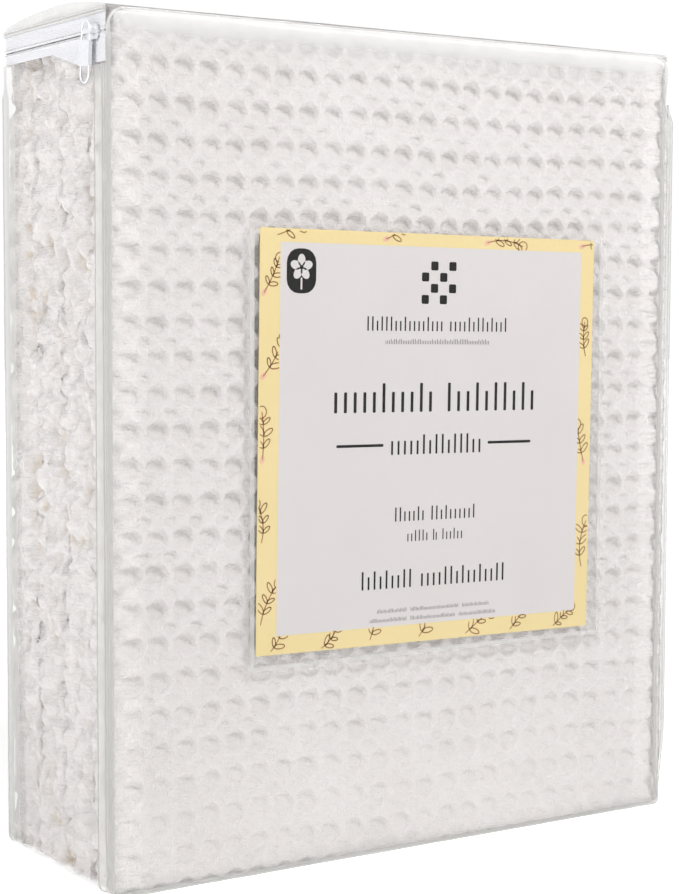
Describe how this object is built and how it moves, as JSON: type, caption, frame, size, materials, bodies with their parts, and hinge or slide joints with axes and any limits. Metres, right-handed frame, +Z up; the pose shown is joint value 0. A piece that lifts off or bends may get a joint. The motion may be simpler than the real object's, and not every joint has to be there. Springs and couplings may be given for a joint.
{
  "type": "folded blanket in zip bag",
  "caption": "Off-white waffle-weave cotton blanket folded into an upright block, packed in a clear zip bag with piped edges, a hinged lid and a printed card in a front pocket.",
  "frame": {"origin": "on the floor under the middle of the bag, at the middle of the bottom panel's underside", "axes": "+Z up along the block's height, +X along its width to the viewer's right, -Y towards the front face that carries the card; the zipper slider is on the left side, at -X"},
  "size_m": [0.3172, 0.1114, 0.386],
  "materials": {
    "waffle_cotton": "matte",
    "clear_film": "gloss",
    "clear_piping": "gloss",
    "zipper_tape": "matte",
    "zipper_coil": "satin",
    "slider_metal": "polished",
    "pull_plastic": "satin",
    "printed_card": "satin"
  },
  "bodies": {
    "bag": {"front_panel": "clear_film", "back_panel": "clear_film", "left_panel": "clear_film", "right_panel": "clear_film", "bottom_panel": "clear_film", "front_piping": "clear_piping", "back_piping": "clear_piping", "pocket_film": "clear_film", "pocket_welds": "clear_piping", "lower_zipper_tape": "zipper_tape", "lower_zipper_coil": "zipper_coil", "lower_zipper_stops": "zipper_coil", "folded_blanket": "waffle_cotton"},
    "lid": {"lid_panel": "clear_film", "lid_welt": "clear_piping", "upper_zipper_tape": "zipper_tape", "upper_zipper_coil": "zipper_coil", "upper_zipper_stops": "zipper_coil"},
    "slider": {"zipper_slider": "slider_metal"},
    "pull": {"pull_wire": "slider_metal", "pull_grip": "pull_plastic"},
    "card": {"insert_card": "printed_card"}
  },
  "joints": [
    {"name": "lid_hinge", "type": "hinge", "parent": "bag", "child": "lid", "pos_m": [0, -0.05375, 0.3795], "axis": [1, 0, 0], "range_deg": [0, 150]},
    {"name": "slider_run", "type": "slide", "parent": "bag", "child": "slider", "axis": [0, 1, 0], "range_m": [0, 0.085]},
    {"name": "pull_swing", "type": "hinge", "parent": "slider", "child": "pull", "pos_m": [-0.15865, -0.03895, 0.3705], "axis": [1, 0, 0], "range_deg": [-10, 85]},
    {"name": "card_slide", "type": "slide", "parent": "bag", "child": "card", "axis": [0, 0, 1], "range_m": [0, 0.085]}
  ]
}
